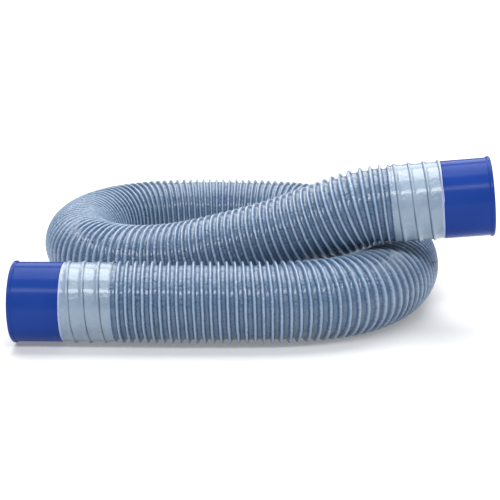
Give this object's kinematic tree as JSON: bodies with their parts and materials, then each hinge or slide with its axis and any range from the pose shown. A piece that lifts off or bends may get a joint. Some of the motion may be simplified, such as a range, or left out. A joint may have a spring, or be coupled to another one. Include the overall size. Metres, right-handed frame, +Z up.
{
  "type": "sewer hose kit",
  "caption": "Wire-ribbed vinyl drain hose laid in one loop, with a soft cuff and a pushed-in rigid adapter sleeve on each end.",
  "frame": {"origin": "on the ground plane, below the middle of the box round the two cuffs and sleeves", "axes": "+X along the front run of the hose, from the left end to the right end; +Y towards the back run; +Z up"},
  "size_m": [0.496, 0.4592, 0.1783],
  "materials": {
    "hose_film": "thin glossy blue-grey vinyl film",
    "spring_wire": "drawn spring steel",
    "cuff_vinyl": "thick soft vinyl, glossy, pale blue-grey",
    "sleeve_plastic": "smooth moulded plastic, royal blue"
  },
  "bodies": {
    "hose": {"film_left_span": "hose_film", "wire_left_span": "spring_wire", "film_right_bend": "hose_film", "wire_right_bend": "spring_wire", "film_back_run": "hose_film", "wire_back_run": "spring_wire", "film_left_bend": "hose_film", "wire_left_bend": "spring_wire", "film_rising_run": "hose_film", "wire_rising_run": "spring_wire", "film_right_span": "hose_film", "wire_right_span": "spring_wire"},
    "left_end": {"left_cuff": "cuff_vinyl"},
    "right_end": {"right_cuff": "cuff_vinyl"},
    "left_adapter": {"left_sleeve": "sleeve_plastic"},
    "right_adapter": {"right_sleeve": "sleeve_plastic"}
  },
  "joints": [
    {"name": "left_end_lift", "type": "hinge", "parent": "hose", "child": "left_end", "pos_m": [-0.087, -0.0327, 0.0415], "axis": [0, 1, 0], "range_deg": [0, 25], "deforming": ["film_left_span", "wire_left_span"]},
    {"name": "right_end_lift", "type": "hinge", "parent": "hose", "child": "right_end", "pos_m": [0.093, 0.0387, 0.116], "axis": [-0.15, -0.9887, 0], "range_deg": [0, 25], "deforming": ["film_right_span", "wire_right_span"]},
    {"name": "left_sleeve_pull", "type": "slide", "parent": "left_end", "child": "left_adapter", "axis": [-0.9997, 0.0227, 0], "range_m": [0, 0.052]},
    {"name": "right_sleeve_pull", "type": "slide", "parent": "right_end", "child": "right_adapter", "axis": [0.9905, -0.0927, 0.1012], "range_m": [0, 0.052]}
  ]
}
